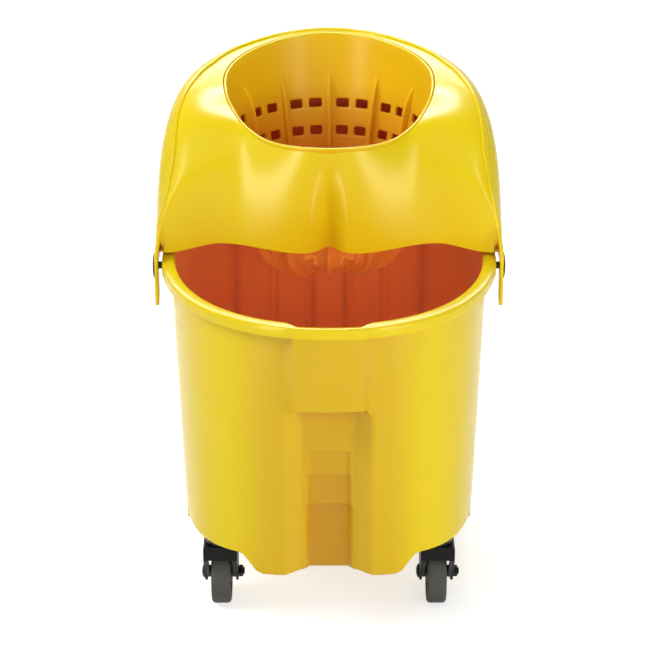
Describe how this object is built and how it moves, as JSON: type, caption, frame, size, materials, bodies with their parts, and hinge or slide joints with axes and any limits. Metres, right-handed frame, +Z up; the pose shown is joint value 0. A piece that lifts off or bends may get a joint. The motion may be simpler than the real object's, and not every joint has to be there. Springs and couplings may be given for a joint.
{
  "type": "mop bucket with wringer",
  "caption": "Plastic mop bucket on swivel casters with a tilting splash hood that carries a ribbed, pierced wringer cone for pressing a string mop.",
  "frame": {"origin": "on the floor under the middle of the whole outline, from the front of the rim to the rear of the hood", "axes": "+Z up, +X to the right as seen from the front, -Y the front, where the grip plate is"},
  "size_m": [0.4152, 0.51, 0.6011],
  "materials": {
    "yellow_plastic": "satin moulded polypropylene with soft broad highlights",
    "amber_plastic": "satin moulded polypropylene, warmer and slightly duller than the bucket",
    "black_steel": "black powder coat with bare edges",
    "zinc_steel": "dull zinc plating",
    "bronze_steel": "dark bronze lacquer",
    "grey_rubber": "grey non-marking rubber with light scuffs",
    "grey_plastic": "dark grey moulded nylon"
  },
  "bodies": {
    "bucket": {"bucket": "yellow_plastic", "pivot_pin_left": "bronze_steel", "pivot_pin_right": "bronze_steel", "pivot_clip_left": "zinc_steel", "pivot_clip_right": "zinc_steel", "front_left_stem": "zinc_steel", "front_right_stem": "zinc_steel", "rear_left_stem": "zinc_steel", "rear_right_stem": "zinc_steel"},
    "hood": {"hood": "yellow_plastic", "wringer_cone": "amber_plastic"},
    "front_left_swivel": {"front_left_fork": "black_steel", "front_left_swivel_bearing": "zinc_steel", "front_left_axle_bolt": "black_steel", "front_left_axle_nut": "black_steel", "front_left_spacer_left": "zinc_steel", "front_left_spacer_right": "zinc_steel"},
    "front_left_wheel": {"front_left_tyre": "grey_rubber", "front_left_wheel_hub": "grey_plastic"},
    "front_right_swivel": {"front_right_fork": "black_steel", "front_right_swivel_bearing": "zinc_steel", "front_right_axle_bolt": "black_steel", "front_right_axle_nut": "black_steel", "front_right_spacer_left": "zinc_steel", "front_right_spacer_right": "zinc_steel"},
    "front_right_wheel": {"front_right_tyre": "grey_rubber", "front_right_wheel_hub": "grey_plastic"},
    "rear_left_swivel": {"rear_left_fork": "black_steel", "rear_left_swivel_bearing": "zinc_steel", "rear_left_axle_bolt": "black_steel", "rear_left_axle_nut": "black_steel", "rear_left_spacer_left": "zinc_steel", "rear_left_spacer_right": "zinc_steel"},
    "rear_left_wheel": {"rear_left_tyre": "grey_rubber", "rear_left_wheel_hub": "grey_plastic"},
    "rear_right_swivel": {"rear_right_fork": "black_steel", "rear_right_swivel_bearing": "zinc_steel", "rear_right_axle_bolt": "black_steel", "rear_right_axle_nut": "black_steel", "rear_right_spacer_left": "zinc_steel", "rear_right_spacer_right": "zinc_steel"},
    "rear_right_wheel": {"rear_right_tyre": "grey_rubber", "rear_right_wheel_hub": "grey_plastic"}
  },
  "joints": [
    {"name": "hood_tilt", "type": "hinge", "parent": "bucket", "child": "hood", "pos_m": [0, -0.034, 0.387], "axis": [1, 0, 0], "range_deg": [0, 75]},
    {"name": "front_left_caster_swivel", "type": "hinge", "parent": "bucket", "child": "front_left_swivel", "pos_m": [-0.127, -0.162, 0.0946], "axis": [0, 0, 1], "continuous": true},
    {"name": "front_left_wheel_spin", "type": "hinge", "parent": "front_left_swivel", "child": "front_left_wheel", "pos_m": [-0.127, -0.137, 0.0381], "axis": [1, 0, 0], "continuous": true},
    {"name": "front_right_caster_swivel", "type": "hinge", "parent": "bucket", "child": "front_right_swivel", "pos_m": [0.127, -0.162, 0.0946], "axis": [0, 0, 1], "continuous": true},
    {"name": "front_right_wheel_spin", "type": "hinge", "parent": "front_right_swivel", "child": "front_right_wheel", "pos_m": [0.127, -0.137, 0.0381], "axis": [1, 0, 0], "continuous": true},
    {"name": "rear_left_caster_swivel", "type": "hinge", "parent": "bucket", "child": "rear_left_swivel", "pos_m": [-0.127, 0.154, 0.0946], "axis": [0, 0, 1], "continuous": true},
    {"name": "rear_left_wheel_spin", "type": "hinge", "parent": "rear_left_swivel", "child": "rear_left_wheel", "pos_m": [-0.127, 0.179, 0.0381], "axis": [1, 0, 0], "continuous": true},
    {"name": "rear_right_caster_swivel", "type": "hinge", "parent": "bucket", "child": "rear_right_swivel", "pos_m": [0.127, 0.154, 0.0946], "axis": [0, 0, 1], "continuous": true},
    {"name": "rear_right_wheel_spin", "type": "hinge", "parent": "rear_right_swivel", "child": "rear_right_wheel", "pos_m": [0.127, 0.179, 0.0381], "axis": [1, 0, 0], "continuous": true}
  ]
}
